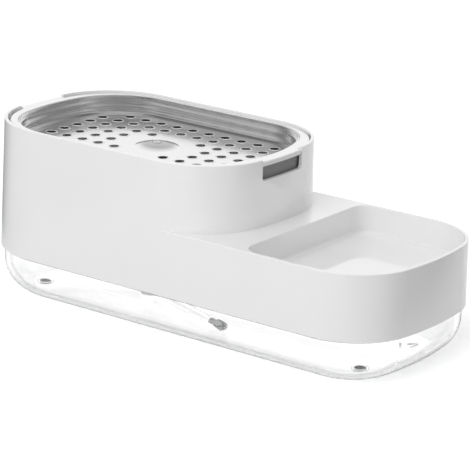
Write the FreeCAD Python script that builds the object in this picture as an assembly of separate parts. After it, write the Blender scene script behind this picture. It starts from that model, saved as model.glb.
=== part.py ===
import FreeCAD, Part
import math
import os

# Soap pump caddy: a clear soap tank below, a white shell on top of it with a sponge tray at the
# right-hand end, and at the left a press plate with a perforated dish that works the soap pump.
# Millimetres.  +X runs along the length to the tray, +Z is up, and the origin is on the table
# under the middle of the caddy.

V = FreeCAD.Vector
UP = V(0, 0, 1)

# Driving sizes of the whole caddy
overall_length = 240.0
overall_width = 104.2
housing_end_x = 33.1
tank_shoulder_z = 23.9
low_height = 31.7
housing_height = 32.5
stroke = 6.0

# Plan outline: every corner is an arc that runs into a flatter crown arc at the end
left_corner_r = 39.5
left_crown_r = 195.0
right_corner_r = 33.0
right_crown_r = 160.0
housing_corner_r = 37.0
housing_crown_r = 177.0

# One overrun for all cuts, one tolerance for finding edges, and the usual clearances
over = 1.0
tiny = 0.001
fit_clear = 0.05
loose_clear = 0.3

# Shell
wall = 1.8
rim_wall = 1.6
plate = 2.0
draft_share = 0.02
well_draft_share = 0.006
seam_gap = 0.3
rim_round = 0.5
tray_edge_x = 44.7
tray_depth = 13.4
tray_corner_r = 8.0
tray_foot_r = 1.6
notch_width = 32.0
notch_depth = 10.2
notch_corner_r = 1.6

# Tank
foot_proud = 0.8
tank_inset = 1.75
tank_floor = 2.0
tank_wall = 2.0
tank_edge_r = 17.2
rim_step = 0.85
rim_height = 9.1
foot_r = 2.8
foot_length = 2.0
foot_ring_wall = 1.3
foot_ring_proud = 0.4
foot_x_share = 0.783
foot_y_share = 0.422

# Seal and inner cover
seal_thickness = 1.5
seal_width = 1.4
cover_thickness = 2.5
skirt_height = 5.5
skirt_wall = 1.4
screw_r = 1.3
screw_length = 6.4
screw_head_r = 2.6
screw_head_height = 1.6
boss_wall = 1.9
screw_x_shares = (-0.80, -0.10, 0.48, 0.80)
screw_y_shares = (0.54, 0.78, 0.78, 0.54)
vent_r = 0.8
vent_x_share = 0.62

# Pump
turret_height = 9.0
turret_wall = 2.8
pump_seal_thickness = 1.0
bore_r = 8.0
barrel_wall = 1.6
barrel_depth = 30.0
flange_overhang = 2.95
flange_thickness = 2.0
guide_flange_thickness = 1.0
guide_plug_length = 3.5
collar_top = 2.2
collar_skirt = 9.0
collar_wall = 2.0
collar_rib_count = 24
collar_rib_r = 0.5
piston_length = 8.0
piston_gap = 0.2
piston_waist = 0.8
piston_lip = 1.6
stem_r = 4.0
stem_bore_r = 1.4
stem_foot_r = 6.8
stem_foot_thickness = 1.2
inlet_ball_r = 3.0
inlet_ball_play = 0.6
inlet_ball_lift = 1.5
inlet_hole_r = 1.7
chamber_wall = 1.6
outlet_ball_r = 2.2
outlet_ball_play = 0.6
outlet_ball_lift = 0.8
seat_clear = 0.05

# Return spring
spring_wire_r = 0.5
spring_coil_r = 5.6
spring_turns = 7

# Dip tube and its foot
tube_bore_r = 1.8
tube_r = 2.5
tube_turn = -21.8
tube_length = 56.6
nipple_bore_r = 1.1
nipple_length = 6.0
strainer_r = 2.8
strainer_length = 4.5
strainer_plug_length = 5.0
strainer_slot_count = 4
strainer_slot_width = 1.0
strainer_slot_length = 3.4

# Press plate: white frame, grey pan and steel dish
frame_drop = 1.0
frame_side_gap = 0.7
frame_left_gap = 1.5
frame_right_gap = 0.6
frame_thickness = 1.6
frame_round = 0.5
frame_peg_r = 0.7
frame_peg_length = 3.0
frame_peg_y = 8.0
tab_thickness = 2.4
tab_step_drop = 1.1
tab_step = 0.35
tab_side_gap = 0.6
tab_recess = 0.15
frame_left_bar = 4.1
frame_right_bar = 3.6
frame_side_bar = 1.8
opening_left_corner_r = 33.0
opening_left_crown_r = 110.0
opening_right_corner_r = 30.0
opening_right_crown_r = 75.0
pan_inset = 0.4
pan_ledge = 0.8
pan_floor = 2.0
pan_edge_r = 4.0
drip_depth = 7.4
hub_wall = 2.0
post_r = 3.0
post_length = 15.0
post_x_share = 0.50
post_y_share = 0.50
bush_wall = 1.3
bush_flange = 0.7
bush_length = 8.5
sleeve_wall = 1.4
stop_r = 4.5
stop_stub_r = 1.5
stop_x_share = 0.70
stop_y_share = 0.27
tower_wall = 1.4
wiper_width = 2.1
wiper_thickness = 1.9

# Steel dish
sheet = 0.5
dish_clear = 0.2
lip_drop = 0.2
lip_height = 2.2
dish_step = 1.0
dish_depth = 6.7
dish_foot_r = 1.6
dish_hole_r = 2.6
dish_hole_pitch = 10.0
dish_row_counts = (12, 12, 12, 10)
dish_clear_middle_r = 17.0
dome_r = 10.75
dome_height = 1.9

# Pump head and soap outlet
head_r = 7.0
head_neck_r = 5.0
head_gap = 0.3
socket_depth = 4.7
head_shoulder = 6.2
head_rise = 0.9
nozzle_r = 1.95
nozzle_bore_r = 1.0
nozzle_gap = 0.3
nozzle_proud = 0.2

# Levels worked out from the sizes above
tank_inside_z = foot_proud + tank_floor
tank_rim_z = tank_shoulder_z + rim_height
shell_edge_z = tank_shoulder_z + seam_gap
low_rim_z = shell_edge_z + low_height
high_rim_z = low_rim_z + housing_height
tray_floor_z = low_rim_z - tray_depth
cover_under_z = tank_rim_z + seal_thickness
cover_top_z = cover_under_z + cover_thickness
turret_top_z = cover_top_z + turret_height
flange_under_z = turret_top_z + pump_seal_thickness
flange_top_z = flange_under_z + flange_thickness
guide_top_z = flange_top_z + guide_flange_thickness
plug_under_z = flange_top_z - guide_plug_length
piston_top_z = plug_under_z - piston_gap
piston_under_z = piston_top_z - piston_length
stem_under_z = piston_under_z - stem_foot_thickness
ledge_z = flange_under_z - barrel_depth
tube_axis_z = tank_inside_z + loose_clear + strainer_r
frame_top_z = high_rim_z - frame_drop
pan_top_z = frame_top_z - frame_thickness
step_top_z = frame_top_z - lip_drop - lip_height
dish_ledge_z = step_top_z - sheet
dish_floor_z = step_top_z - dish_depth
dish_under_z = dish_floor_z - sheet
pan_inside_z = dish_under_z - drip_depth
pan_under_z = pan_inside_z - pan_floor
stop_top_z = pan_under_z - stroke - loose_clear
head_under_z = pan_under_z + head_gap
stem_top_z = head_under_z + socket_depth
shoulder_z = head_under_z + head_shoulder
hub_top_z = dish_under_z - loose_clear
head_top_z = hub_top_z + head_rise
nozzle_top_z = dish_floor_z + dome_height + nozzle_proud

press_x = (housing_end_x - overall_length / 2) / 2
press = V(press_x, 0, 0)
barrel_r = bore_r + barrel_wall
flange_r = barrel_r + flange_overhang
chamber_r = inlet_ball_r + inlet_ball_play

# Outline: left x, right x, half width, left corner and crown radius, right corner and crown radius
body_plan = (-overall_length / 2, overall_length / 2, overall_width / 2,
             left_corner_r, left_crown_r, right_corner_r, right_crown_r)
housing_plan = (-overall_length / 2, housing_end_x, overall_width / 2,
                left_corner_r, left_crown_r, housing_corner_r, housing_crown_r)


def shell_inset(z):
    """How far the leaning outer wall stands in from the plan outline at a height."""
    return draft_share * (z - shell_edge_z)


def inner_inset(z):
    """The inner face of the shell's wall below the deck."""
    return wall + shell_inset(z)


def well_inset(z):
    """The inner face of the press well, which opens a little towards its rim."""
    return rim_wall + shell_inset(high_rim_z) + well_draft_share * (high_rim_z - z)


well_rim_inset = well_inset(high_rim_z)
frame_inset = well_rim_inset + frame_side_gap
frame_plan = (-overall_length / 2 + well_rim_inset + frame_left_gap,
              housing_end_x - well_rim_inset - frame_right_gap,
              overall_width / 2 - frame_inset,
              left_corner_r - frame_inset, left_crown_r - frame_inset,
              housing_corner_r - frame_inset, housing_crown_r - frame_inset)
pan_plan = (frame_plan[0] + pan_inset, frame_plan[1] - pan_inset) + tuple(
    size - pan_inset for size in frame_plan[2:])
opening_plan = (frame_plan[0] + frame_left_bar, frame_plan[1] - frame_right_bar,
                frame_plan[2] - frame_side_bar, opening_left_corner_r, opening_left_crown_r,
                opening_right_corner_r, opening_right_crown_r)


def plan_arcs(plan):
    """Centres, radii and angles of an outline's six arcs, counter-clockwise from the front right."""
    left_x, right_x, half, left_corner, left_crown, right_corner, right_crown = plan
    right_cap = right_crown - math.sqrt((right_crown - right_corner) ** 2 - (half - right_corner) ** 2)
    left_cap = left_crown - math.sqrt((left_crown - left_corner) ** 2 - (half - left_corner) ** 2)
    right_turn = math.degrees(math.asin((half - right_corner) / (right_crown - right_corner)))
    left_turn = math.degrees(math.asin((half - left_corner) / (left_crown - left_corner)))
    right_centre_x = right_x - right_cap
    left_centre_x = left_x + left_cap
    return [
        (right_centre_x, right_corner - half, right_corner, -90, -right_turn),
        (right_x - right_crown, 0, right_crown, -right_turn, right_turn),
        (right_centre_x, half - right_corner, right_corner, right_turn, 90),
        (left_centre_x, half - left_corner, left_corner, 90, 180 - left_turn),
        (left_x + left_crown, 0, left_crown, 180 - left_turn, 180 + left_turn),
        (left_centre_x, left_corner - half, left_corner, 180 + left_turn, 270),
    ]


def on_arc(arc, angle, inset, z):
    """A point on one of the outline's arcs, drawn in by an inset."""
    x, y, radius = arc[:3]
    turn = math.radians(angle)
    return V(x + (radius - inset) * math.cos(turn), y + (radius - inset) * math.sin(turn), z)


def plan_wire(plan, inset, z):
    """The closed outline at a height, drawn in by an inset."""
    arcs = plan_arcs(plan)
    edges = []
    for index, arc in enumerate(arcs):
        start, end = arc[3], arc[4]
        edges.append(Part.Arc(on_arc(arc, start, inset, z), on_arc(arc, (start + end) / 2, inset, z),
                              on_arc(arc, end, inset, z)).toShape())
        after = arcs[(index + 1) % len(arcs)]
        if index in (2, 5):
            edges.append(Part.LineSegment(on_arc(arc, end, inset, z),
                                          on_arc(after, after[3], inset, z)).toShape())
    return Part.Wire(edges)


def block(plan, low_z, low_inset, high_z, high_inset):
    """A solid between two heights whose sides are the outline, straight or leaning."""
    arcs = plan_arcs(plan)
    faces = [Part.Face(plan_wire(plan, low_inset, low_z)), Part.Face(plan_wire(plan, high_inset, high_z))]
    for index, arc in enumerate(arcs):
        start, end = arc[3], arc[4]
        side = Part.LineSegment(on_arc(arc, start, low_inset, low_z),
                                on_arc(arc, start, high_inset, high_z)).toShape()
        faces.append(side.revolve(V(arc[0], arc[1], 0), UP, end - start))
        if index in (2, 5):
            after = arcs[(index + 1) % len(arcs)]
            corners = [on_arc(arc, end, low_inset, low_z), on_arc(after, after[3], low_inset, low_z),
                       on_arc(after, after[3], high_inset, high_z), on_arc(arc, end, high_inset, high_z)]
            faces.append(Part.Face(Part.makePolygon(corners + corners[:1])))
    skin = Part.makeShell(faces)
    skin.sewShape()
    solid = Part.makeSolid(skin)
    if solid.Volume < 0:
        solid.reverse()
    return solid.removeSplitter()


def edges_at(shape, z):
    """The level edges of a shape that lie at one height."""
    return [e for e in shape.Edges if abs(e.BoundBox.ZMin - z) < tiny and abs(e.BoundBox.ZMax - z) < tiny]


def ring_band(plan, low_z, high_z, near_inset, far_inset):
    """A closed band that follows an outline."""
    band = block(plan, low_z, near_inset, high_z, near_inset)
    return band.cut(block(plan, low_z - over, far_inset, high_z + over, far_inset))


def rod(radius, low_z, high_z, place=press):
    """An upright cylinder."""
    return Part.makeCylinder(radius, high_z - low_z, V(place.x, place.y, low_z))


def tube(outer_r, inner_r, low_z, high_z, place=press):
    """An upright tube."""
    return rod(outer_r, low_z, high_z, place).cut(rod(inner_r, low_z - over, high_z + over, place))


def turned(points, place=press):
    """A solid of revolution about an upright axis from its half section (radius, z)."""
    corners = [V(place.x + r, place.y, z) for r, z in points]
    face = Part.Face(Part.makePolygon(corners + corners[:1]))
    return face.revolve(V(place.x, place.y, 0), UP, 360)


def joined(shapes):
    """One solid from pieces that meet."""
    whole = shapes[0]
    for shape in shapes[1:]:
        whole = whole.fuse(shape)
    return whole.removeSplitter()


def mirrored_places(places):
    """Each place and its mirror image across the caddy's long axis."""
    return [V(p.x, side * p.y, 0) for p in places for side in (-1, 1)]


def around_press(x_share, y_share):
    """Four places about the press axis, as shares of the press well's half length and half width."""
    reach = housing_end_x - press_x
    return [V(press_x + sx * x_share * reach, sy * y_share * overall_width / 2, 0)
            for sx in (-1, 1) for sy in (-1, 1)]


foot_places = [V(sx * foot_x_share * overall_length / 2, sy * foot_y_share * overall_width / 2, 0)
               for sx in (-1, 1) for sy in (-1, 1)]
screw_places = mirrored_places([V(sx * overall_length / 2, sy * overall_width / 2, 0)
                                for sx, sy in zip(screw_x_shares, screw_y_shares)])
post_places = around_press(post_x_share, post_y_share)
stop_places = around_press(stop_x_share, stop_y_share)


def make_tank():
    """Clear open tank with a large bottom edge, a shoulder under the shell and a rim inside it."""
    outer = block(body_plan, foot_proud, tank_inset, tank_shoulder_z, tank_inset)
    outer = outer.makeFillet(tank_edge_r, edges_at(outer, foot_proud))
    rim_inset = tank_inset + rim_step
    rim = block(body_plan, tank_shoulder_z, rim_inset, tank_rim_z, rim_inset)
    inside = block(body_plan, tank_inside_z, rim_inset + tank_wall, tank_rim_z + over, rim_inset + tank_wall)
    inside = inside.makeFillet(tank_edge_r - tank_floor, edges_at(inside, tank_inside_z))
    tank = outer.fuse(rim).cut(inside)
    ring_r = foot_r + fit_clear + foot_ring_wall
    for place in foot_places:
        tank = tank.fuse(rod(ring_r, foot_proud - foot_ring_proud, foot_proud + tank_floor / 2, place))
    for place in foot_places:
        tank = tank.cut(rod(foot_r + fit_clear, -over, foot_length, place))
    return tank.removeSplitter()


def make_tank_feet():
    """Four rubber pads pressed into the rings under the tank."""
    return Part.makeCompound([rod(foot_r, 0, foot_length, place) for place in foot_places])


def make_tank_seal():
    """Silicone ring that lies on the tank's rim."""
    edge = tank_inset + rim_step + (tank_wall - seal_width) / 2
    return ring_band(body_plan, tank_rim_z, cover_under_z, edge, edge + seal_width)


def make_inner_cover():
    """Cover under the shell: it closes the tank and carries the pump in its turret."""
    edge = inner_inset(cover_top_z) + loose_clear
    skirt_edge = tank_inset + rim_step + tank_wall + loose_clear
    cover = block(body_plan, cover_under_z, edge, cover_top_z, edge)
    skirt = ring_band(body_plan, cover_under_z - skirt_height, cover_under_z, skirt_edge,
                      skirt_edge + skirt_wall)
    turret_bore_r = barrel_r + loose_clear
    turret = rod(turret_bore_r + turret_wall, cover_under_z, turret_top_z)
    cover = joined([cover, skirt, turret])
    cover = cover.cut(rod(turret_bore_r, cover_under_z - over, turret_top_z + over))
    for place in screw_places:
        cover = cover.cut(rod(screw_r + loose_clear, cover_under_z - over, cover_top_z + over, place))
    vent = V(vent_x_share * overall_length / 2, 0, 0)
    return cover.cut(rod(vent_r, cover_under_z - over, cover_top_z + over, vent))


def make_cover_screws():
    """Eight self-tapping screws that hold the inner cover to the shell's bosses."""
    screws = []
    for place in screw_places:
        head = rod(screw_head_r, cover_under_z - screw_head_height, cover_under_z, place)
        shank = rod(screw_r, cover_under_z, cover_under_z + screw_length, place)
        screws.append(head.fuse(shank).removeSplitter())
    return Part.makeCompound(screws)


def notch(end_x, floor_z, side):
    """Cutter for the open-topped finger notch at one end of the housing."""
    reach = rim_wall + frame_left_gap + over
    low_x = end_x - reach if side > 0 else end_x - over
    corner = V(low_x, -notch_width / 2, floor_z)
    cutter = Part.makeBox(reach + over, notch_width, notch_depth + over, corner)
    lower = [e for e in cutter.Edges if abs(e.BoundBox.ZMax - floor_z) < tiny and e.BoundBox.YLength < tiny]
    return cutter.makeFillet(notch_corner_r, lower)


def make_shell():
    """White upper body in one moulding: press well, flat deck, sunken sponge tray and bosses."""
    body = block(body_plan, shell_edge_z, 0, low_rim_z, shell_inset(low_rim_z))
    body = body.makeFillet(rim_round, edges_at(body, low_rim_z))
    root_z = low_rim_z - 2 * rim_round
    housing = block(housing_plan, root_z, shell_inset(root_z), high_rim_z, shell_inset(high_rim_z))
    housing = housing.makeFillet(rim_round, edges_at(housing, high_rim_z))
    shell = body.fuse(housing).removeSplitter()
    well = block(housing_plan, low_rim_z, well_inset(low_rim_z), high_rim_z + over,
                 well_inset(high_rim_z + over))
    shell = shell.cut(well)
    shell = shell.cut(tray_pocket())
    shell = shell.cut(under_space())
    notch_floor_z = high_rim_z - notch_depth
    shell = shell.cut(notch(housing_end_x - shell_inset(notch_floor_z), notch_floor_z, 1))
    shell = shell.cut(notch(-overall_length / 2 + shell_inset(notch_floor_z), notch_floor_z, -1))
    for shape in shell_bosses():
        shell = shell.fuse(shape)
    for shape in shell_bores():
        shell = shell.cut(shape)
    return shell.removeSplitter()


def tray_pocket():
    """The sponge tray's hollow: the body outline drawn in, with a straight wall beside the deck."""
    low_inset = rim_wall + shell_inset(low_rim_z) + well_draft_share * tray_depth
    high_inset = rim_wall + shell_inset(low_rim_z) - well_draft_share * over
    pocket = block(body_plan, tray_floor_z, low_inset, low_rim_z + over, high_inset)
    keep = Part.makeBox(overall_length, 2 * overall_width, tray_depth + 2 * over,
                        V(tray_edge_x, -overall_width, tray_floor_z))
    pocket = pocket.common(keep)
    upright = [e for e in pocket.Edges
               if abs(e.BoundBox.XMin - tray_edge_x) < tiny and e.BoundBox.XLength < tiny
               and e.BoundBox.ZLength > tray_depth / 2]
    pocket = pocket.makeFillet(tray_corner_r, upright)
    return pocket.makeFillet(tray_foot_r, edges_at(pocket, tray_floor_z))


def under_space():
    """The open space inside the shell, under the deck and under the tray's floor."""
    tray_under_z = tray_floor_z - plate
    deck_under_z = low_rim_z - plate
    low = block(body_plan, shell_edge_z - over, inner_inset(shell_edge_z - over), tray_under_z,
                inner_inset(tray_under_z))
    high = block(body_plan, tray_under_z - over, inner_inset(tray_under_z - over), deck_under_z,
                 inner_inset(deck_under_z))
    keep = Part.makeBox(overall_length, 2 * overall_width, 2 * low_height,
                        V(tray_edge_x - wall - overall_length, -overall_width, shell_edge_z))
    return low.fuse(high.common(keep)).removeSplitter()


def shell_bosses():
    """What stands on or hangs under the shell's deck: stem tower, guide sleeves, screw bosses."""
    deck_under_z = low_rim_z - plate
    shapes = [rod(stem_r + fit_clear + wiper_width + tower_wall, deck_under_z, stop_top_z)]
    sleeve_r = post_r + fit_clear + bush_wall + fit_clear + sleeve_wall
    for place in post_places:
        shapes.append(rod(sleeve_r, deck_under_z, stop_top_z - bush_flange, place))
    for place in screw_places:
        under_z = deck_under_z if place.x < tray_edge_x else tray_floor_z - plate
        shapes.append(rod(screw_r + fit_clear + boss_wall, cover_top_z, under_z, place))
    return shapes


def shell_bores():
    """Holes in the shell for the stem, its wiper, the guide bushes, the stops and the screws."""
    deck_under_z = low_rim_z - plate
    shapes = [rod(stem_r + 2 * loose_clear, deck_under_z - over, stop_top_z + over),
              rod(stem_r + fit_clear + wiper_width, stop_top_z - wiper_thickness, stop_top_z + over)]
    for place in post_places:
        shapes.append(rod(post_r + bush_wall + 2 * fit_clear, deck_under_z - over, stop_top_z + over, place))
    for place in stop_places:
        shapes.append(rod(stop_stub_r + fit_clear, deck_under_z - over, low_rim_z + over, place))
    for place in screw_places:
        shapes.append(rod(screw_r + fit_clear, cover_top_z - over,
                          cover_under_z + screw_length + loose_clear, place))
    return shapes


def make_guide_bushes():
    """Four plain bushes that line the guide sleeves."""
    bushes = []
    for place in post_places:
        flange_z = stop_top_z - bush_flange
        body = rod(post_r + fit_clear + bush_wall, flange_z - bush_length, flange_z, place)
        flange = rod(post_r + fit_clear + bush_wall + sleeve_wall, flange_z, stop_top_z, place)
        bore = rod(post_r + fit_clear, flange_z - bush_length - over, stop_top_z + over, place)
        bushes.append(body.fuse(flange).cut(bore))
    return Part.makeCompound(bushes)


def make_bump_stops():
    """Four rubber stops on the deck that end the press plate's travel."""
    stops = []
    for place in stop_places:
        stub = rod(stop_stub_r, low_rim_z - plate, low_rim_z, place)
        stops.append(stub.fuse(rod(stop_r, low_rim_z, stop_top_z, place)).removeSplitter())
    return Part.makeCompound(stops)


def make_stem_wiper():
    """Rubber ring in the tower's mouth that keeps drips off the pump."""
    return tube(stem_r + wiper_width, stem_r + fit_clear, stop_top_z - wiper_thickness, stop_top_z)


def tube_direction():
    """The level direction in which the dip tube leaves the pump."""
    turn = math.radians(tube_turn)
    return V(math.cos(turn), math.sin(turn), 0)


def level_rod(radius, start, end):
    """A level cylinder along the dip tube between two distances from the press axis."""
    way = tube_direction()
    return Part.makeCylinder(radius, end - start, V(press_x, 0, tube_axis_z) + way * start, way)


chamber_outer_r = chamber_r + chamber_wall
seat_top_z = ledge_z - inlet_ball_lift - inlet_ball_r
seat_drop = chamber_r - inlet_hole_r
tube_start = chamber_outer_r + loose_clear


def make_pump_cylinder():
    """Pump barrel with its flange, the inlet valve's chamber and the nipple for the dip tube."""
    barrel = rod(barrel_r, ledge_z - barrel_wall, flange_under_z)
    flange = rod(flange_r, flange_under_z, flange_top_z)
    chamber = rod(chamber_outer_r, tube_axis_z - nipple_bore_r - chamber_wall, ledge_z)
    nipple = level_rod(tube_bore_r - fit_clear, 0, tube_start + nipple_length)
    body = joined([barrel, flange, chamber, nipple])
    body = body.cut(rod(bore_r, ledge_z, flange_top_z + over))
    mouth_r = inlet_ball_r - loose_clear
    body = body.cut(turned([(0, tube_axis_z), (inlet_hole_r, tube_axis_z),
                            (inlet_hole_r, seat_top_z - seat_drop), (chamber_r, seat_top_z),
                            (chamber_r, ledge_z - loose_clear - inlet_ball_play),
                            (mouth_r, ledge_z - inlet_ball_play), (mouth_r, ledge_z + over),
                            (0, ledge_z + over)]))
    return body.cut(level_rod(nipple_bore_r, 0, tube_start + nipple_length + over)).removeSplitter()


def seat_height(ball_r, cone_top_z, cone_top_r):
    """Height of a ball's centre when it rests in a cone of 45 degrees."""
    return cone_top_z - cone_top_r + ball_r * math.sqrt(2) + seat_clear


def make_inlet_ball():
    """Steel ball that closes the pump's inlet."""
    return Part.makeSphere(inlet_ball_r, V(press_x, 0, seat_height(inlet_ball_r, seat_top_z, chamber_r)))


def make_pump_seal():
    """Flat washer between the turret and the pump's flange."""
    return tube(flange_r, barrel_r + loose_clear, turret_top_z, flange_under_z)


def make_stem_guide():
    """Plug in the barrel's mouth that guides the stem and stops the piston."""
    plug = rod(bore_r - fit_clear, plug_under_z, flange_top_z)
    flange = rod(flange_r - loose_clear, flange_top_z, guide_top_z)
    bore = rod(stem_r + fit_clear, plug_under_z - over, guide_top_z + over)
    return plug.fuse(flange).removeSplitter().cut(bore)


def make_pump_collar():
    """Ribbed collar that clamps the pump to the cover's turret."""
    inner_r = flange_r + loose_clear
    outer_r = inner_r + collar_wall
    skirt_z = guide_top_z - collar_skirt
    top_z = guide_top_z + collar_top
    parts = [rod(outer_r, skirt_z, top_z)]
    for index in range(collar_rib_count):
        turn = math.radians(360 * index / collar_rib_count)
        place = V(press_x + outer_r * math.cos(turn), outer_r * math.sin(turn), 0)
        parts.append(rod(collar_rib_r, skirt_z, guide_top_z, place))
    collar = joined(parts).cut(rod(inner_r, skirt_z - over, guide_top_z))
    return collar.cut(rod(bore_r, skirt_z, top_z + over))


def make_piston():
    """Piston with a lip at each end, pushed on the stem."""
    lip_r = bore_r - fit_clear
    waist_r = lip_r - piston_waist
    inner_r = stem_r + fit_clear
    return turned([(inner_r, piston_under_z), (lip_r, piston_under_z), (lip_r, piston_under_z + piston_lip),
                   (waist_r, piston_under_z + piston_lip + piston_waist),
                   (waist_r, piston_top_z - piston_lip - piston_waist),
                   (lip_r, piston_top_z - piston_lip), (lip_r, piston_top_z), (inner_r, piston_top_z)])


outlet_chamber_r = outlet_ball_r + outlet_ball_play
outlet_seat_r = stem_bore_r + outlet_ball_play * 2


def make_stem():
    """Hollow stem from the piston to the pump head, with the outlet valve's seat at its top."""
    return turned([(stem_bore_r, stem_under_z), (stem_foot_r, stem_under_z), (stem_foot_r, piston_under_z),
                   (stem_r, piston_under_z), (stem_r, stem_top_z), (outlet_seat_r, stem_top_z),
                   (stem_bore_r, stem_top_z - outlet_seat_r + stem_bore_r)])


def make_outlet_ball():
    """Steel ball that closes the outlet when the plate rises."""
    centre_z = seat_height(outlet_ball_r, stem_top_z, outlet_seat_r)
    return Part.makeSphere(outlet_ball_r, V(press_x, 0, centre_z))


def make_pump_head():
    """Head on the stem: it carries the press plate and ends in the soap nozzle."""
    chamber_top_z = (seat_height(outlet_ball_r, stem_top_z, outlet_seat_r) + outlet_ball_r
                     + outlet_ball_lift + seat_clear)
    return turned([(stem_r + fit_clear, head_under_z), (head_r, head_under_z), (head_r, shoulder_z),
                   (head_neck_r, shoulder_z), (head_neck_r, head_top_z), (nozzle_r, head_top_z),
                   (nozzle_r, nozzle_top_z), (nozzle_bore_r, nozzle_top_z), (nozzle_bore_r, chamber_top_z),
                   (outlet_chamber_r, chamber_top_z), (outlet_chamber_r, stem_top_z),
                   (stem_r + fit_clear, stem_top_z)])


def biarc(start, start_way, end, end_way):
    """Two arcs that join two points with given directions."""
    gap = end - start
    ways = start_way + end_way
    a = 2 * (start_way.dot(end_way) - 1)
    b = -2 * gap.dot(ways)
    c = gap.dot(gap)
    reach = (-b - math.sqrt(b * b - 4 * a * c)) / (2 * a)
    knee_in = start + start_way * reach
    knee_out = end - end_way * reach
    middle = (knee_in + knee_out) * 0.5
    edges = []
    for p, knee, q in ((start, knee_in, middle), (middle, knee_out, end)):
        half = (q - p).Length / 2
        centre = (p + q) * 0.5
        turn = math.acos(half / (knee - p).Length)
        outward = (knee - centre).normalize()
        edges.append(Part.Arc(p, centre + outward * (half * math.tan(turn / 2)), q).toShape())
    return edges


def make_return_spring():
    """Steel coil spring between the barrel's ledge and the stem's foot, as one unbroken wire."""
    low_z = ledge_z + spring_wire_r + loose_clear
    high_z = stem_under_z - spring_wire_r - loose_clear
    pitch = (high_z - low_z) / spring_turns
    quarter = 90

    def point(angle):
        turn = math.radians(angle)
        return V(press_x + spring_coil_r * math.cos(turn), spring_coil_r * math.sin(turn),
                 low_z + pitch * angle / 360)

    def way(angle):
        turn = math.radians(angle)
        rise = pitch / (2 * math.pi)
        return V(-spring_coil_r * math.sin(turn), spring_coil_r * math.cos(turn), rise).normalize()

    edges = []
    for index in range(4 * spring_turns):
        angle = index * quarter
        edges += biarc(point(angle), way(angle), point(angle + quarter), way(angle + quarter))
    path = Part.Wire(edges)
    section = Part.Wire(Part.makeCircle(spring_wire_r, point(0), way(0)))
    spring = path.makePipeShell([section], True, False)
    near = min((point(angle) - point(other)).Length
               for angle in range(0, 360, 15) for other in range(angle + 270, angle + 450, 5))
    print("return spring: least gap to itself", round(near - 2 * spring_wire_r, 3))
    wire_length = spring_turns * math.hypot(2 * math.pi * spring_coil_r, pitch)
    print("return spring: volume share of its wire",
          round(spring.Volume / (math.pi * spring_wire_r ** 2 * wire_length), 4))
    return spring


def make_dip_tube():
    """Soft tube from the pump's nipple along the tank's floor."""
    return level_rod(tube_r, tube_start, tube_start + tube_length).cut(
        level_rod(tube_bore_r, tube_start - over, tube_start + tube_length + over))


def make_strainer():
    """Slotted foot plugged into the dip tube's end."""
    end = tube_start + tube_length
    plug = level_rod(tube_bore_r - fit_clear, end - strainer_plug_length, end)
    head = level_rod(strainer_r, end, end + strainer_length)
    foot = plug.fuse(head).removeSplitter()
    foot = foot.cut(level_rod(nipple_bore_r, end - strainer_plug_length - over, end + strainer_length / 2))
    way = tube_direction()
    tip = V(press_x, 0, tube_axis_z) + way * (end + strainer_length)
    for index in range(strainer_slot_count // 2):
        slot = Part.makeBox(strainer_slot_length + over, 2 * strainer_r + 2 * over, strainer_slot_width,
                            V(-strainer_slot_length, -strainer_r - over, -strainer_slot_width / 2))
        slot.rotate(V(0, 0, 0), V(1, 0, 0), 180 * index / (strainer_slot_count // 2))
        slot.rotate(V(0, 0, 0), UP, tube_turn)
        slot.translate(tip)
        foot = foot.cut(slot)
    return foot


def peg_places():
    """Pegs in the middle of the frame's end bars, two at each end."""
    left_x = (pan_plan[0] + opening_plan[0]) / 2
    right_x = (pan_plan[1] + opening_plan[1]) / 2
    return [V(x, side * frame_peg_y, 0) for x in (left_x, right_x) for side in (-1, 1)]


def finger_tabs():
    """Tabs that fill the tops of the finger notches, flush with the shell, with a fine step in front."""
    step_z = frame_top_z - tab_step_drop
    under_z = frame_top_z - tab_thickness
    upper = block(housing_plan, step_z, shell_inset(step_z) + tab_recess,
                  frame_top_z, shell_inset(frame_top_z) + tab_recess)
    upper = upper.makeFillet(frame_round, edges_at(upper, frame_top_z))
    lower = block(housing_plan, under_z, shell_inset(under_z) + tab_recess + tab_step,
                  step_z, shell_inset(step_z) + tab_recess + tab_step)
    width = notch_width - 2 * tab_side_gap
    band = Part.makeBox(overall_length, width, tab_thickness, V(-overall_length / 2, -width / 2, under_z))
    band = band.makeFillet(frame_round, [e for e in edges_at(band, frame_top_z) if e.BoundBox.YLength < tiny])
    tabs = upper.fuse(lower).common(band)
    tabs = tabs.cut(block(frame_plan, under_z - over, 0, pan_top_z, 0))
    return tabs.cut(block(frame_plan, pan_top_z - over, 2 * frame_round, frame_top_z + over, 2 * frame_round))


def make_press_frame():
    """White trim frame round the dish with a finger tab at each end, pegged to the pan."""
    ring = block(frame_plan, pan_top_z, 0, frame_top_z, 0)
    ring = ring.makeFillet(frame_round, edges_at(ring, frame_top_z)).fuse(finger_tabs())
    ring = ring.cut(block(opening_plan, pan_top_z - over, 0, frame_top_z + over, 0))
    for place in peg_places():
        ring = ring.fuse(rod(frame_peg_r, pan_top_z - frame_peg_length, pan_top_z, place))
    return ring.removeSplitter()


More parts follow.
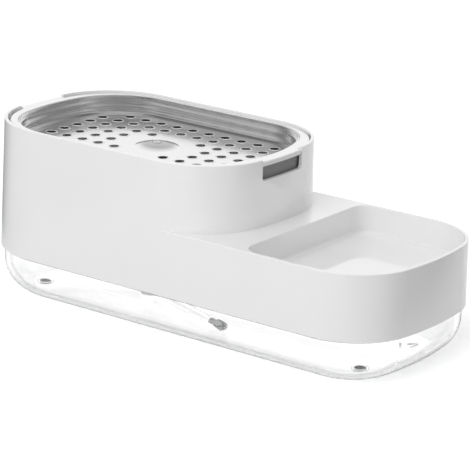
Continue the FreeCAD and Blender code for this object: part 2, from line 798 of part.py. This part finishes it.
def make_drip_pan():
    """Grey pan under the dish: ledge for the dish, hub on the pump head and four guide posts."""
    pan = block(pan_plan, pan_under_z, 0, pan_top_z, 0)
    pan = pan.makeFillet(pan_edge_r, edges_at(pan, pan_under_z))
    pan = pan.cut(block(opening_plan, dish_ledge_z, 0, pan_top_z + over, 0))
    hollow = block(opening_plan, pan_inside_z, pan_ledge, dish_ledge_z + over, pan_ledge)
    pan = pan.cut(hollow.makeFillet(pan_edge_r - pan_floor, edges_at(hollow, pan_inside_z)))
    pan = pan.fuse(rod(head_r + loose_clear + hub_wall, pan_under_z, hub_top_z))
    for place in post_places:
        pan = pan.fuse(rod(post_r, pan_under_z - post_length, pan_under_z, place))
    pan = pan.cut(rod(head_r + loose_clear, pan_under_z - over, shoulder_z))
    pan = pan.cut(rod(head_neck_r + loose_clear, pan_under_z, hub_top_z + over))
    for place in peg_places():
        pan = pan.cut(rod(frame_peg_r + fit_clear, pan_top_z - frame_peg_length - loose_clear,
                          pan_top_z + over, place))
    return pan.removeSplitter()


def dish_bowl(extra, floor_z):
    """The dish's hollow (extra 0) or its outside (extra one sheet), as a solid bowl with a lip."""
    collar_inset = dish_clear + sheet - extra
    wall_inset = collar_inset + dish_step
    top_z = frame_top_z - lip_drop + (over if extra == 0 else 0)
    bowl = block(opening_plan, floor_z, wall_inset, step_top_z, wall_inset)
    bowl = bowl.makeFillet(dish_foot_r + extra, edges_at(bowl, floor_z))
    collar = block(opening_plan, step_top_z - extra, collar_inset, top_z, collar_inset)
    return bowl.fuse(collar).removeSplitter()


def hole_places():
    """The square grid of drain holes, in rows either side of the long axis, clear of the dome."""
    places = []
    for row, count in enumerate(dish_row_counts):
        y = (row + 0.5) * dish_hole_pitch
        for index in range(count):
            x = (index - (count - 1) / 2) * dish_hole_pitch
            if math.hypot(x, y) > dish_clear_middle_r:
                places.append(V(press_x + x, y, 0))
    return mirrored_places(places)


def make_steel_dish():
    """Pressed steel dish: stepped rim, rounded foot, domed middle and a grid of drain holes."""
    dish = dish_bowl(sheet, dish_under_z).cut(dish_bowl(0, dish_floor_z))
    cap_r = (dome_r ** 2 + dome_height ** 2) / (2 * dome_height)
    centre = V(press_x, 0, dish_floor_z + dome_height - cap_r)
    keep = rod(dome_r + sheet, dish_under_z - over, dish_floor_z + 2 * dome_height)
    dome = Part.makeSphere(cap_r, centre).common(keep)
    hollow = Part.makeSphere(cap_r - sheet, centre)
    dish = dish.cut(rod(dome_r, dish_under_z - over, dish_floor_z + over))
    dish = dish.fuse(dome.cut(hollow).common(rod(dome_r + sheet, dish_under_z, nozzle_top_z)))
    dish = dish.cut(rod(nozzle_r + nozzle_gap, dish_under_z - over, nozzle_top_z + over))
    holes = [rod(dish_hole_r, dish_under_z - over, dish_floor_z + over, place) for place in hole_places()]
    return dish.cut(Part.makeCompound(holes))


PIECES = [
    ("tank", make_tank),
    ("tank_feet", make_tank_feet),
    ("tank_seal", make_tank_seal),
    ("shell", make_shell),
    ("inner_cover", make_inner_cover),
    ("cover_screws", make_cover_screws),
    ("guide_bushes", make_guide_bushes),
    ("bump_stops", make_bump_stops),
    ("stem_wiper", make_stem_wiper),
    ("pump_cylinder", make_pump_cylinder),
    ("pump_seal", make_pump_seal),
    ("stem_guide", make_stem_guide),
    ("pump_collar", make_pump_collar),
    ("inlet_ball", make_inlet_ball),
    ("return_spring", make_return_spring),
    ("dip_tube", make_dip_tube),
    ("strainer", make_strainer),
    ("piston", make_piston),
    ("stem", make_stem),
    ("outlet_ball", make_outlet_ball),
    ("pump_head", make_pump_head),
    ("press_frame", make_press_frame),
    ("drip_pan", make_drip_pan),
    ("steel_dish", make_steel_dish),
]

os.makedirs("parts", exist_ok=True)
for name, make in PIECES:
    shape = make()
    shape.exportStep("parts/" + name + ".step")
    print(name, "valid", shape.isValid(), "solids", len(shape.Solids), "volume", round(shape.Volume, 1),
          "faces", len(shape.Faces))
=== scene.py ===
import math

import bmesh
import bpy
from mathutils import Matrix, Vector


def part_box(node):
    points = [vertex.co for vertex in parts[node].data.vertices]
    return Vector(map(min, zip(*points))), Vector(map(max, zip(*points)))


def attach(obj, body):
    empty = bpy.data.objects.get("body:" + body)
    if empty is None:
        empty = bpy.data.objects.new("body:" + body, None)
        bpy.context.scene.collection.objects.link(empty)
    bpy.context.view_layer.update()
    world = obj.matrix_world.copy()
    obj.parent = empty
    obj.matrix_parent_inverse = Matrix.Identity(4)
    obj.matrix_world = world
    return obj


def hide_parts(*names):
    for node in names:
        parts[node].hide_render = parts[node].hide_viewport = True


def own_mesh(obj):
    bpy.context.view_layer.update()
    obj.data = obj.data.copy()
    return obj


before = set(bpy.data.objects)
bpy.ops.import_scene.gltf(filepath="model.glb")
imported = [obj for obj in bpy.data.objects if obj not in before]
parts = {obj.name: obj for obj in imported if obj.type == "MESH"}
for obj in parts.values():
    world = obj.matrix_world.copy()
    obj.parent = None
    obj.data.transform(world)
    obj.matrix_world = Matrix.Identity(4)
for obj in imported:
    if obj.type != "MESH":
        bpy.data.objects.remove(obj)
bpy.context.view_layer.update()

# Clear soap tank.  Injection moulded in a clear plastic with polished walls, open at the top, with a
# large rounded edge at its floor.  It carries everything else on its rim.


class Feed:
    """What comes out of a shader node.  Sums, products and comparisons with it add Math nodes."""

    def __init__(self, graph, socket):
        self.graph = graph
        self.socket = socket

    def __add__(self, other):
        return self.graph.maths("ADD", self, other)

    def __radd__(self, other):
        return self.graph.maths("ADD", other, self)

    def __sub__(self, other):
        return self.graph.maths("SUBTRACT", self, other)

    def __rsub__(self, other):
        return self.graph.maths("SUBTRACT", other, self)

    def __mul__(self, other):
        return self.graph.maths("MULTIPLY", self, other)

    def __rmul__(self, other):
        return self.graph.maths("MULTIPLY", other, self)

    def __gt__(self, other):
        return self.graph.maths("GREATER_THAN", self, other)

    def __lt__(self, other):
        return self.graph.maths("LESS_THAN", self, other)


class Graph:
    """The nodes of one finish, of the floor or of the studio's surroundings."""

    def __init__(self, owner):
        owner.use_nodes = True
        self.owner = owner
        self.tree = owner.node_tree

    def node(self, kind, settings, sockets, out=0):
        """Any node, from its type, its settings and the values or links of its sockets."""
        made = self.tree.nodes.new(kind)
        for name, value in settings.items():
            if name == "stops":
                # A new ramp has a stop at 0 and one at 1, which stay its first and last.
                stops = made.color_ramp.elements
                for place, _ in value[1:-1]:
                    stops.new(place)
                for stop, (_, tone) in zip(stops, value):
                    stop.color = (tone, tone, tone, 1)
            else:
                setattr(made, name, value)
        self.plug(made, sockets)
        return Feed(self, made.outputs[out])

    def plug(self, node, sockets):
        """Gives the sockets of a node their values or links."""
        for name, value in sockets.items():
            if isinstance(value, Feed):
                self.tree.links.new(value.socket, node.inputs[name])
            else:
                node.inputs[name].default_value = value

    def maths(self, operation, first, second=0.0):
        """A Math node on two numbers."""
        return self.node("ShaderNodeMath", {"operation": operation}, {0: first, 1: second})

    def vectors(self, operation, first, second=(0, 0, 0), out="Vector"):
        """A Vector Math node on two vectors."""
        return self.node("ShaderNodeVectorMath", {"operation": operation}, {0: first, 1: second}, out)

    def place(self):
        """The point on the object, in metres."""
        return self.node("ShaderNodeTexCoord", {}, {}, "Object")

    def along(self, axis, vector):
        """One coordinate of a vector."""
        return self.node("ShaderNodeSeparateXYZ", {}, {0: vector}, axis)

    def ray(self, kind):
        """What is known of the ray that arrives: its kind, or how often it has passed glass."""
        return self.node("ShaderNodeLightPath", {}, {}, kind)

    def ramp(self, factor, stops):
        """A tone that follows a factor; the first stop is at 0 and the last at 1."""
        return self.node("ShaderNodeValToRGB", {"stops": stops}, {"Fac": factor})

    def ease(self, value, start, end, low=0.0, high=1.0):
        """Runs smoothly from low to high while a value goes from start to end."""
        return self.node("ShaderNodeMapRange", {"interpolation_type": "SMOOTHSTEP"}, {
            "Value": value, "From Min": start, "From Max": end, "To Min": low, "To Max": high})

    def cloud(self, scale, detail=2.0, stretch=(1, 1, 1)):
        """Soft noise with that many features to the metre, drawn out along some axes."""
        drawn = self.node("ShaderNodeMapping", {}, {"Vector": self.place(), "Scale": stretch})
        return self.node("ShaderNodeTexNoise", {}, {"Vector": drawn, "Scale": scale, "Detail": detail})

    def tint(self, factor, first, second):
        """One colour running into another."""
        first, second = (
            colour if isinstance(colour, Feed) else (*colour, 1) for colour in (first, second))
        return self.node("ShaderNodeMix", {"data_type": "RGBA"}, {0: factor, 6: first, 7: second}, 2)

    def relief(self, height, depth, strength=1.0):
        """Small surface relief, its depth in metres."""
        return self.node("ShaderNodeBump", {}, {
            "Height": height, "Distance": depth, "Strength": strength})


class Finish(Graph):
    """A material of the caddy."""

    def __init__(self, name, **constants):
        super().__init__(bpy.data.materials.new(name))
        self.surface = self.tree.nodes["Principled BSDF"]
        self.look({socket.replace("_", " "): value for socket, value in constants.items()})

    def look(self, sockets):
        """Gives the finish's own sockets their values or links."""
        self.plug(self.surface, sockets)

    def matt(self, colour):
        """A plain matt layer."""
        return self.node("ShaderNodeBsdfDiffuse", {}, {"Color": (*colour, 1)})

    def layered(self, factor, under, over):
        """One layer over another."""
        return self.node("ShaderNodeMixShader", {}, {0: factor, 1: under, 2: over})

    def on(self, *names):
        """Gives the finish to CAD nodes."""
        for name in names:
            for slot in parts[name].material_slots:
                slot.material = self.owner


clear_plastic = Finish("clear_plastic", IOR=1.5, Transmission_Weight=1.0)
flow = clear_plastic.cloud(16, 1.0, (0.4, 1.0, 1.0))
clear_plastic.look({
    "Base Color": clear_plastic.tint(flow, (0.985, 0.987, 0.986), (0.995, 0.996, 0.996)),
    "Roughness": 0.012 + 0.02 * clear_plastic.cloud(60, 3.0),
    "Normal": clear_plastic.relief(flow, 0.0006, 0.15),
})

# Painted shade: where a clear wall is seen along its surface, a grey matt layer is mixed in: a veil,
# which level faces don't get, and a fine line at the outline.
slant = clear_plastic.node("ShaderNodeLayerWeight", {}, {"Blend": 0.5}, "Facing")
painted_outline = clear_plastic.ramp(slant, ((0.0, 0.0), (0.90, 0.0), (0.97, 0.08), (1.0, 0.7)))
painted_veil = clear_plastic.ramp(slant, (
    (0.0, 0.0), (0.27, 0.0), (0.34, 0.06), (0.52, 0.10), (0.60, 0.20), (0.68, 0.10), (1.0, 0.6)))
surface_way = clear_plastic.node("ShaderNodeNewGeometry", {}, {}, "Normal")
level_limit = 0.985
wall = clear_plastic.along("Z", clear_plastic.vectors("ABSOLUTE", surface_way)) < level_limit

# Painted shade: a faint grey is mixed into the rounded edge at the tank's floor.
height = clear_plastic.along("Z", clear_plastic.place())
curve_shade_top = 0.0118
curve_shade_full = 0.0092
curve_shade_share = 0.095
painted_curve_shade = clear_plastic.ease(height, curve_shade_top, curve_shade_full, 0.0, curve_shade_share)

# The step of the tank's rim is a thin shadow line under the shell's lower edge.
shell_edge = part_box("shell")[0].z
seam_height = 0.0011
slack = 0.0001
seam = (height > shell_edge - seam_height) * (height < shell_edge + slack)

# Two fine grey rings lie in the floor round each foot, 2.9 and 4.2 mm from its middle.
foot_r = 0.0028
foot_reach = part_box("tank_feet")[1]
foot_middle = (foot_reach.x - foot_r, foot_reach.y - foot_r, 0)
one_quarter = clear_plastic.vectors("ABSOLUTE", clear_plastic.place())
on_floor = clear_plastic.vectors("MULTIPLY", one_quarter, (1, 1, 0))
from_foot = clear_plastic.vectors("DISTANCE", on_floor, foot_middle, "Value")
ring_scale = 130.0
rings_seen = clear_plastic.ramp(from_foot * ring_scale, (
    (0.0, 0.0), (0.34, 0.0), (0.38, 0.5), (0.42, 0.0), (0.50, 0.0), (0.545, 0.4), (0.59, 0.0),
    (1.0, 0.0))) * (1 - wall)

clear_body = Feed(clear_plastic, clear_plastic.surface.outputs[0])
# The grey matt layer is painted shade at the outline, on slanted walls and on the floor's curve, and it
# also draws the fine rings round the feet.
shade_and_ring_share = painted_outline + (painted_veil + painted_curve_shade) * wall * (0.55 + 0.9 * flow) + rings_seen
shaded_and_ringed = clear_plastic.layered(shade_and_ring_share, clear_body, clear_plastic.matt((0.55, 0.56, 0.56)))
seamed = clear_plastic.layered(0.55 * seam, shaded_and_ringed, clear_plastic.matt((0.22, 0.22, 0.22)))

# Light falls through the tank, so its shadow is pale.
passing = clear_plastic.node("ShaderNodeBsdfTransparent", {}, {"Color": (0.93, 0.94, 0.94, 1)})
whole_wall = clear_plastic.layered(clear_plastic.ray("Is Shadow Ray"), seamed, passing)
clear_plastic.plug(clear_plastic.tree.nodes["Material Output"], {"Surface": whole_wall})
clear_plastic.on("tank")

# Tank feet and bump stops.  Black rubber pads: four are pressed into moulded rings under the tank, and
# four sit in holes of the shell's deck and end the travel of the press plate.

rubber = Finish("rubber", Specular_IOR_Level=0.35)
bloom = rubber.cloud(420, 4.0)
rubber.look({
    "Base Color": rubber.tint(bloom, (0.012, 0.012, 0.013), (0.045, 0.045, 0.047)),
    "Roughness": 0.62 + 0.25 * bloom,
    "Normal": rubber.relief(rubber.cloud(2600, 2.0), 0.00004),
})
rubber.on("tank_feet", "bump_stops")

# Silicone rings.  Soft milky rings: one lies loose on the tank's rim and seals the cover, one lies
# under the pump's flange, and one wipes the drips off the pump.

silicone = Finish("silicone", Subsurface_Weight=0.3, Subsurface_Scale=0.002,
                  Subsurface_Radius=(1, 1, 1))
haze = silicone.cloud(180, 2.0)
silicone.look({
    "Base Color": silicone.tint(haze, (0.78, 0.79, 0.79), (0.86, 0.86, 0.86)),
    "Roughness": 0.42 + 0.16 * haze,
    "Normal": silicone.relief(haze, 0.00005),
})
silicone.on("tank_seal", "pump_seal", "stem_wiper")

# White shell and press frame.  Glossy mouldings, drafted a little so that they leave the mould.  The
# shell has the press well, the deck and the sponge tray, and sits over the tank's rim; the frame goes
# round the dish and is pegged to the pan.

white_plastic = Finish("white_plastic", IOR=1.5, Coat_Weight=0.8, Coat_IOR=1.6, Coat_Roughness=0.03)
melt = white_plastic.cloud(22, 3.0)
fine = white_plastic.cloud(900, 3.0)
white_plastic.look({
    "Base Color": white_plastic.tint(melt, (0.85, 0.852, 0.85), (0.878, 0.879, 0.876)),
    "Roughness": 0.05 + 0.05 * melt + 0.04 * fine,
    "Normal": white_plastic.relief(melt + 0.06 * fine, 0.00012, 0.2),
})
white_plastic.on("shell", "press_frame")

# Inner cover and pump collar.  Satin white mouldings inside the shell.  The cover closes the tank and
# carries the pump in its turret, and the ribbed collar clamps the pump there.

satin_white = Finish("satin_white", IOR=1.47)
grain = satin_white.cloud(700, 3.0)
satin_white.look({
    "Base Color": satin_white.tint(satin_white.cloud(30), (0.80, 0.805, 0.80), (0.85, 0.85, 0.845)),
    "Roughness": 0.34 + 0.14 * grain,
    "Normal": satin_white.relief(grain, 0.00005),
})
satin_white.on("inner_cover", "pump_collar")

# Cover screws and valve balls.  Bright stainless steel with fine marks from the tool.  The screws hold
# the cover to the shell's bosses, and the balls lie loose in the pump's two valves.

bright_steel = Finish("bright_steel", Metallic=1.0)
marks = bright_steel.cloud(1500, 4.0, (1.0, 1.0, 5.0))
bright_steel.look({
    "Base Color": bright_steel.tint(marks, (0.56, 0.56, 0.55), (0.70, 0.70, 0.69)),
    "Roughness": 0.16 + 0.14 * marks,
    "Normal": bright_steel.relief(marks, 0.00002),
})
bright_steel.on("cover_screws", "inlet_ball", "outlet_ball")

# Return spring.  Hard stainless wire, seven turns with a closed turn at each end.  It stands loose on
# the pump cylinder's ledge, and the stem's foot pushes it shorter.


def join_rings(mesh, rings):
    """Covers a row of rings of points, each joined to the next, with four-sided faces."""
    for here, there in zip(rings, rings[1:]):
        for k, point in enumerate(here):
            after = (k + 1) % len(here)
            mesh.faces.new((point, here[after], there[after], there[k]))


def new_piece(name, mesh, finish):
    """Makes a piece of a mesh.  Its four-sided faces are shaded round and any other face flat."""
    bmesh.ops.recalc_face_normals(mesh, faces=mesh.faces)
    piece = bpy.data.objects.new(name, bpy.data.meshes.new(name))
    mesh.to_mesh(piece.data)
    mesh.free()
    for face in piece.data.polygons:
        face.use_smooth = len(face.vertices) == 4
    piece.data.materials.append(finish.owner)
    bpy.context.scene.collection.objects.link(piece)
    return piece


spring_low, spring_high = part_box("return_spring")
wire_r = 0.0005
coil_r = (spring_high.x - spring_low.x) / 2 - wire_r
coil_x = (spring_low.x + spring_high.x) / 2
turns = 7
closed_pitch = 0.00108
wire_rise = spring_high.z - spring_low.z - 2 * wire_r
open_pitch = (wire_rise - 2 * closed_pitch) / (turns - 2)
steps_per_turn = 30
wire_sides = 12
wire_mesh = bmesh.new()
wire_rings = []
for step in range(turns * steps_per_turn + 1):
    turned = step / steps_per_turn
    open_turned = min(max(turned - 1, 0), turns - 2)
    climbed = open_pitch * open_turned + closed_pitch * (turned - open_turned)
    angle = 2 * math.pi * turned
    outward = Vector((math.cos(angle), math.sin(angle), 0))
    centre = Vector((coil_x, 0, spring_low.z + wire_r + climbed)) + outward * coil_r
    ring = []
    for side in range(wire_sides):
        round_wire = 2 * math.pi * side / wire_sides
        off_centre = outward * math.cos(round_wire) + Vector((0, 0, math.sin(round_wire)))
        ring.append(wire_mesh.verts.new(centre + wire_r * off_centre))
    wire_rings.append(ring)
join_rings(wire_mesh, wire_rings)
wire_mesh.faces.new(wire_rings[0])
wire_mesh.faces.new(wire_rings[-1])
coiled_wire = new_piece("coiled_wire", wire_mesh, bright_steel)
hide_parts("return_spring")
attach(coiled_wire, "upper")
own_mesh(coiled_wire)

# Pump cylinder, stem, piston, stem guide and guide bushes.  Moulded in natural polypropylene without
# pigment, which is milky and lets some light through, and pushed into one another and the sleeves.

natural_plastic = Finish("natural_plastic", IOR=1.49, Transmission_Weight=0.35,
                         Subsurface_Weight=0.4, Subsurface_Scale=0.004, Subsurface_Radius=(1, 1, 1))
milk = natural_plastic.cloud(120, 3.0)
natural_plastic.look({
    "Base Color": natural_plastic.tint(milk, (0.86, 0.87, 0.87), (0.93, 0.935, 0.93)),
    "Roughness": 0.30 + 0.14 * milk,
    "Normal": natural_plastic.relief(milk, 0.00006),
})
natural_plastic.on("pump_cylinder", "stem", "piston", "stem_guide", "guide_bushes")

# Dip tube.  A stiff clear extruded tube, pressed over the pump's nipple and bent so that it lies on the
# tank's floor.

clear_tube = Finish("clear_tube", IOR=1.42, Transmission_Weight=1.0)
drawn = clear_tube.cloud(60, 2.0, (0.2, 1.0, 1.0))
clear_tube.look({
    "Base Color": clear_tube.tint(drawn, (0.95, 0.955, 0.95), (0.98, 0.98, 0.98)),
    "Roughness": 0.05 + 0.05 * drawn,
    "Normal": clear_tube.relief(drawn, 0.0001, 0.3),
})
clear_tube.on("dip_tube")

# Strainer.  A small dark slotted foot, moulded and plugged into the dip tube's end.  It lies on the
# tank's floor and keeps lumps of soap out of the pump.

dark_plastic = Finish("dark_plastic", IOR=1.46)
speck = dark_plastic.cloud(800, 3.0)
dark_plastic.look({
    "Base Color": dark_plastic.tint(speck, (0.44, 0.44, 0.445), (0.54, 0.54, 0.545)),
    "Roughness": 0.40 + 0.2 * speck,
    "Normal": dark_plastic.relief(speck, 0.00004),
})
dark_plastic.on("strainer")

# Pump head.  A white moulding pushed on the stem.  It carries the press plate, and its nozzle ends in
# the opening of the dish's dome.

head_plastic = Finish("head_plastic", IOR=1.48)
swirl = head_plastic.cloud(90, 2.0)
head_plastic.look({
    "Base Color": head_plastic.tint(swirl, (0.70, 0.70, 0.695), (0.78, 0.78, 0.775)),
    "Roughness": 0.28 + 0.12 * swirl,
    "Normal": head_plastic.relief(swirl, 0.00005),
})
head_plastic.on("pump_head")

# Drip pan.  Grey moulding with a fine spark-eroded grain under the dish; its posts slide in the
# bushes and its end wall shows through the finger notches.

grey_plastic = Finish("grey_plastic", IOR=1.48)
spark = grey_plastic.cloud(1900, 4.0)
dish_low, dish_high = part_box("steel_dish")

# Painted light: below its end wall the pan is painted pale, so the drain holes over it don't look
# black.
painted_light_top = dish_low.z - 0.004
painted_light_full = dish_low.z - 0.0065
painted_light = grey_plastic.ease(grey_plastic.along("Z", grey_plastic.place()), painted_light_top, painted_light_full)
end_wall = grey_plastic.tint(grey_plastic.cloud(40), (0.225, 0.225, 0.228), (0.262, 0.262, 0.265))
grey_plastic.look({
    "Base Color": grey_plastic.tint(painted_light, end_wall, (0.85, 0.85, 0.85)),
    "Roughness": 0.36 + 0.18 * spark,
    "Normal": grey_plastic.relief(spark, 0.00006),
})
grey_plastic.on("drip_pan")

# Steel dish.  Pressed from stainless sheet and polished after pressing, so faint lines run along it
# and water leaves a soft bloom.  It rests on the pan's ledge inside the press frame.

dish_steel = Finish("dish_steel", Metallic=1.0)
press_x = (dish_low.x + dish_high.x) / 2
floor_depth = 0.0089
dish_floor = dish_high.z - floor_depth
over_floor = dish_steel.along("Z", dish_steel.place()) - dish_floor
lines = dish_steel.cloud(520, 4.0, (0.03, 0.03, 1.0))
bloom_marks = dish_steel.cloud(34, 3.0)
sheet_tone = dish_steel.tint(bloom_marks, (0.80, 0.80, 0.80), (0.87, 0.87, 0.868))

# Painted shade: the dome in the middle is painted darker than the floor round it.
from_dome = dish_steel.vectors("DISTANCE", dish_steel.place(), (press_x, 0.0, dish_floor), "Value")
dome_shade_full_r = 0.0065
dome_shade_end_r = 0.0105
painted_dome_shade = dish_steel.ease(from_dome, dome_shade_full_r, dome_shade_end_r, 1.0, 0.0)
shaded_dome_tone = dish_steel.tint(painted_dome_shade, sheet_tone, (0.46, 0.46, 0.46))

# The punched edge inside each hole is dark, partly from its rough cut and partly as painted shade in
# the hole; the bend at the foot of the wall gets painted shade, which stands in for a dark reflection.
edge_top = 0.00012
edge_bottom = 0.00044
punched_and_shaded = (over_floor < -edge_top) * (over_floor > -edge_bottom)
bend_height = 0.002
painted_foot_shade = dish_steel.ramp(over_floor * (1 / bend_height), (
    (0.0, 0.0), (0.04, 0.0), (0.08, 0.55), (0.20, 0.55), (0.30, 0.18), (0.60, 0.12), (0.80, 0.0),
    (1.0, 0.0)))
past_dome_r = 0.013
past_dome = from_dome > past_dome_r

# Drawing the sheet left shallow waves up the wall, about 4 mm apart.
wall_foot = 0.0005
wall_start = 0.002
drawn_wall = dish_steel.ease(over_floor, wall_foot, wall_start)
wave_rate = 1500.0
wave = dish_steel.maths("SINE", over_floor * wave_rate)
dish_steel.look({
    "Base Color": dish_steel.tint(punched_and_shaded + painted_foot_shade * past_dome, shaded_dome_tone, (0.14, 0.14, 0.14)),
    "Roughness": 0.10 + 0.08 * lines + 0.04 * bloom_marks + 0.05 * drawn_wall,
    "Normal": dish_steel.relief(0.04 * lines + wave * drawn_wall, 0.00018),
})
dish_steel.on("steel_dish")

# Rims of the drain holes.  Each hole is flanged upwards by the punch, which leaves a low polished
# bead round it.

polished = Finish("polished_rims", Metallic=0.7)
burr = polished.cloud(1400, 3.0)
polished.look({
    "Base Color": polished.tint(burr, (0.92, 0.92, 0.92), (0.98, 0.98, 0.975)),
    "Roughness": 0.10 + 0.08 * burr,
    "Normal": polished.relief(burr, 0.00001),
})

# Each row of holes on either side of the long axis: how far from it, and how many holes.
rows = ((0.005, 12), (0.015, 12), (0.025, 12), (0.035, 10))
pitch = 0.010
clear_middle_r = 0.017
hole_r = 0.0026

# The bead's section: how far out from the hole's edge, and how high over the dish's floor.
bead = ((0.0, -0.0001), (0.00004, 0.00008), (0.00016, 0.00015), (0.00032, 0.00014),
        (0.00048, 0.00004), (0.00055, -0.0001))
rim_steps = 28
rim_mesh = bmesh.new()
for row_y, count in rows:
    for x, y in ((pitch * (index - (count - 1) / 2), side * row_y)
                 for side in (-1, 1) for index in range(count)):
        if math.hypot(x, y) < clear_middle_r:
            continue
        rim_rings = []
        for step in range(rim_steps):
            turn = 2 * math.pi * step / rim_steps
            rim_rings.append([rim_mesh.verts.new((press_x + x + (hole_r + out) * math.cos(turn),
                                                  y + (hole_r + out) * math.sin(turn),
                                                  dish_floor + rise)) for out, rise in bead])
        join_rings(rim_mesh, rim_rings + rim_rings[:1])
hole_rims = new_piece("hole_rims", rim_mesh, polished)
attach(hole_rims, "dish")

# Studio.  A plain pale sheet of paper under the caddy, a large soft lamp in front and above, a weaker
# one behind, and pale surroundings that are dimmer in front on the right.

sheet_reach = 4
sheet = bpy.data.objects.new("studio_sheet", bpy.data.meshes.new("studio_sheet"))
sheet.data.from_pydata([(-sheet_reach, -sheet_reach, 0), (sheet_reach, -sheet_reach, 0),
                        (sheet_reach, sheet_reach, 0), (-sheet_reach, sheet_reach, 0)],
                       [], [(0, 1, 2, 3)])
bpy.context.scene.collection.objects.link(sheet)
paper = Finish("studio_paper", Roughness=0.9, Specular_IOR_Level=0.0)
bounced = paper.ray("Is Diffuse Ray")
seen = paper.ray("Is Camera Ray")
through = paper.maths("MINIMUM", paper.ray("Transmission Depth"), 1.0)

# Seen through the tank the paper glows white, with painted shade in front of the caddy.
across = paper.along("Y", paper.place())
through_front_shade = paper.ease(across, -0.01, -0.06)

# Painted shade: in gloss only, the paper is darker at the caddy's ends, and most towards the back.
sideways = paper.maths("ABSOLUTE", paper.along("X", paper.place()))
shade_side = paper.ease(sideways, 0.15, 0.23, 0.0, 0.7)
shade_back = paper.ease(across, -0.10, 0.03, 0.35, 1.0)
mirrored_shade = paper.ray("Is Glossy Ray") * shade_side * shade_back

# Matt faces get only half of the paper's light, so that they stay clear of white.
paper.look({
    "Base Color": (0.97 - 0.47 * bounced) * (1 - 0.97 * through) * (1 - mirrored_shade),
    "Roughness": 0.85 + 0.1 * paper.cloud(300),
    "Emission Color": (0.05 + 0.30 * seen) * (1 - through) + (1.26 - 0.30 * through_front_shade) * through,
    "Emission Strength": 1.0,
})
sheet.data.materials.append(paper.owner)

surroundings = Graph(bpy.data.worlds.new("studio"))
bpy.context.scene.world = surroundings.owner
surroundings.tree.nodes.clear()

# Gloss mirrors a studio that is brightest behind the caddy on the left, and overhead.
way = surroundings.node("ShaderNodeTexCoord", {}, {}, "Generated")
bright_side = (-0.29, 0.39, 0.10)
turned_there = 0.5 + surroundings.vectors("DOT_PRODUCT", way, bright_side, "Value")
walls = 1.05 * surroundings.ramp(turned_there, (
    (0.0, 0.22), (0.14, 0.26), (0.36, 0.52), (0.42, 0.52), (0.58, 0.26), (0.72, 0.22), (0.88, 0.90),
    (1.0, 0.98)))
overhead = surroundings.ease(surroundings.along("Z", way), 0.86, 0.98, 0.0, 0.6)

# Seen straight or through the tank it is white, and matt faces get an even light.
plain = surroundings.node("ShaderNodeMath", {"operation": "MAXIMUM", "use_clamp": True}, {
    0: surroundings.ray("Is Camera Ray"), 1: surroundings.ray("Transmission Depth")})
white = 1.0
mirrored = surroundings.node("ShaderNodeMix", {"data_type": "FLOAT"}, {
    0: plain, 2: walls + overhead, 3: white})
soft_light = 0.53
level = surroundings.node("ShaderNodeMix", {"data_type": "FLOAT"}, {
    0: surroundings.ray("Is Diffuse Ray"), 2: mirrored, 3: soft_light})
light = surroundings.node("ShaderNodeBackground", {}, {"Color": (1, 1, 1, 1), "Strength": level})
world_out = surroundings.tree.nodes.new("ShaderNodeOutputWorld")
surroundings.plug(world_out, {"Surface": light})

# Each lamp's name, the direction in which it stands and its power.
lamps = (("soft_lamp", (0.05, -0.69, 0.72), 15), ("back_lamp", (-0.22, 0.95, 0.15), 6))
lamp_distance = 1.6
for name, direction, power in lamps:
    lamp = bpy.data.objects.new(name, bpy.data.lights.new(name, "AREA"))
    lamp.data.shape = "DISK"
    lamp.data.size = 1.5
    lamp.data.energy = power
    lamp_way = Vector(direction).normalized()
    lamp.location = lamp_way * lamp_distance
    lamp.rotation_euler = lamp_way.to_track_quat("Z", "Y").to_euler()
    lamp.visible_glossy = False
    bpy.context.scene.collection.objects.link(lamp)

# Camera.  It stands in front and to the right, a little above, about 1.15 m away, with a long lens
# and a slight roll, as in the photograph.

azimuth, elevation, roll = (math.radians(degrees) for degrees in (35.602, 17.150, 2.065))
back = Vector((math.sin(azimuth) * math.cos(elevation), -math.cos(azimuth) * math.cos(elevation),
               math.sin(elevation)))
level_right = Vector((math.cos(azimuth), math.sin(azimuth), 0))
level_up = back.cross(level_right)
right = level_right * math.cos(roll) + level_up * math.sin(roll)
up = level_up * math.cos(roll) - level_right * math.sin(roll)
stand = Vector((0.64637, -0.89550, 0.38287))
camera = bpy.data.objects.new("camera", bpy.data.cameras.new("camera"))
camera.data.sensor_width = 36
camera.data.lens = 183.94
camera.data.clip_start = 0.05
camera.data.clip_end = 30
camera.matrix_world = Matrix.Translation(stand) @ Matrix((right, up, back)).transposed().to_4x4()
bpy.context.scene.collection.objects.link(camera)
bpy.context.scene.camera = camera
bpy.context.scene.view_settings.view_transform = "Standard"
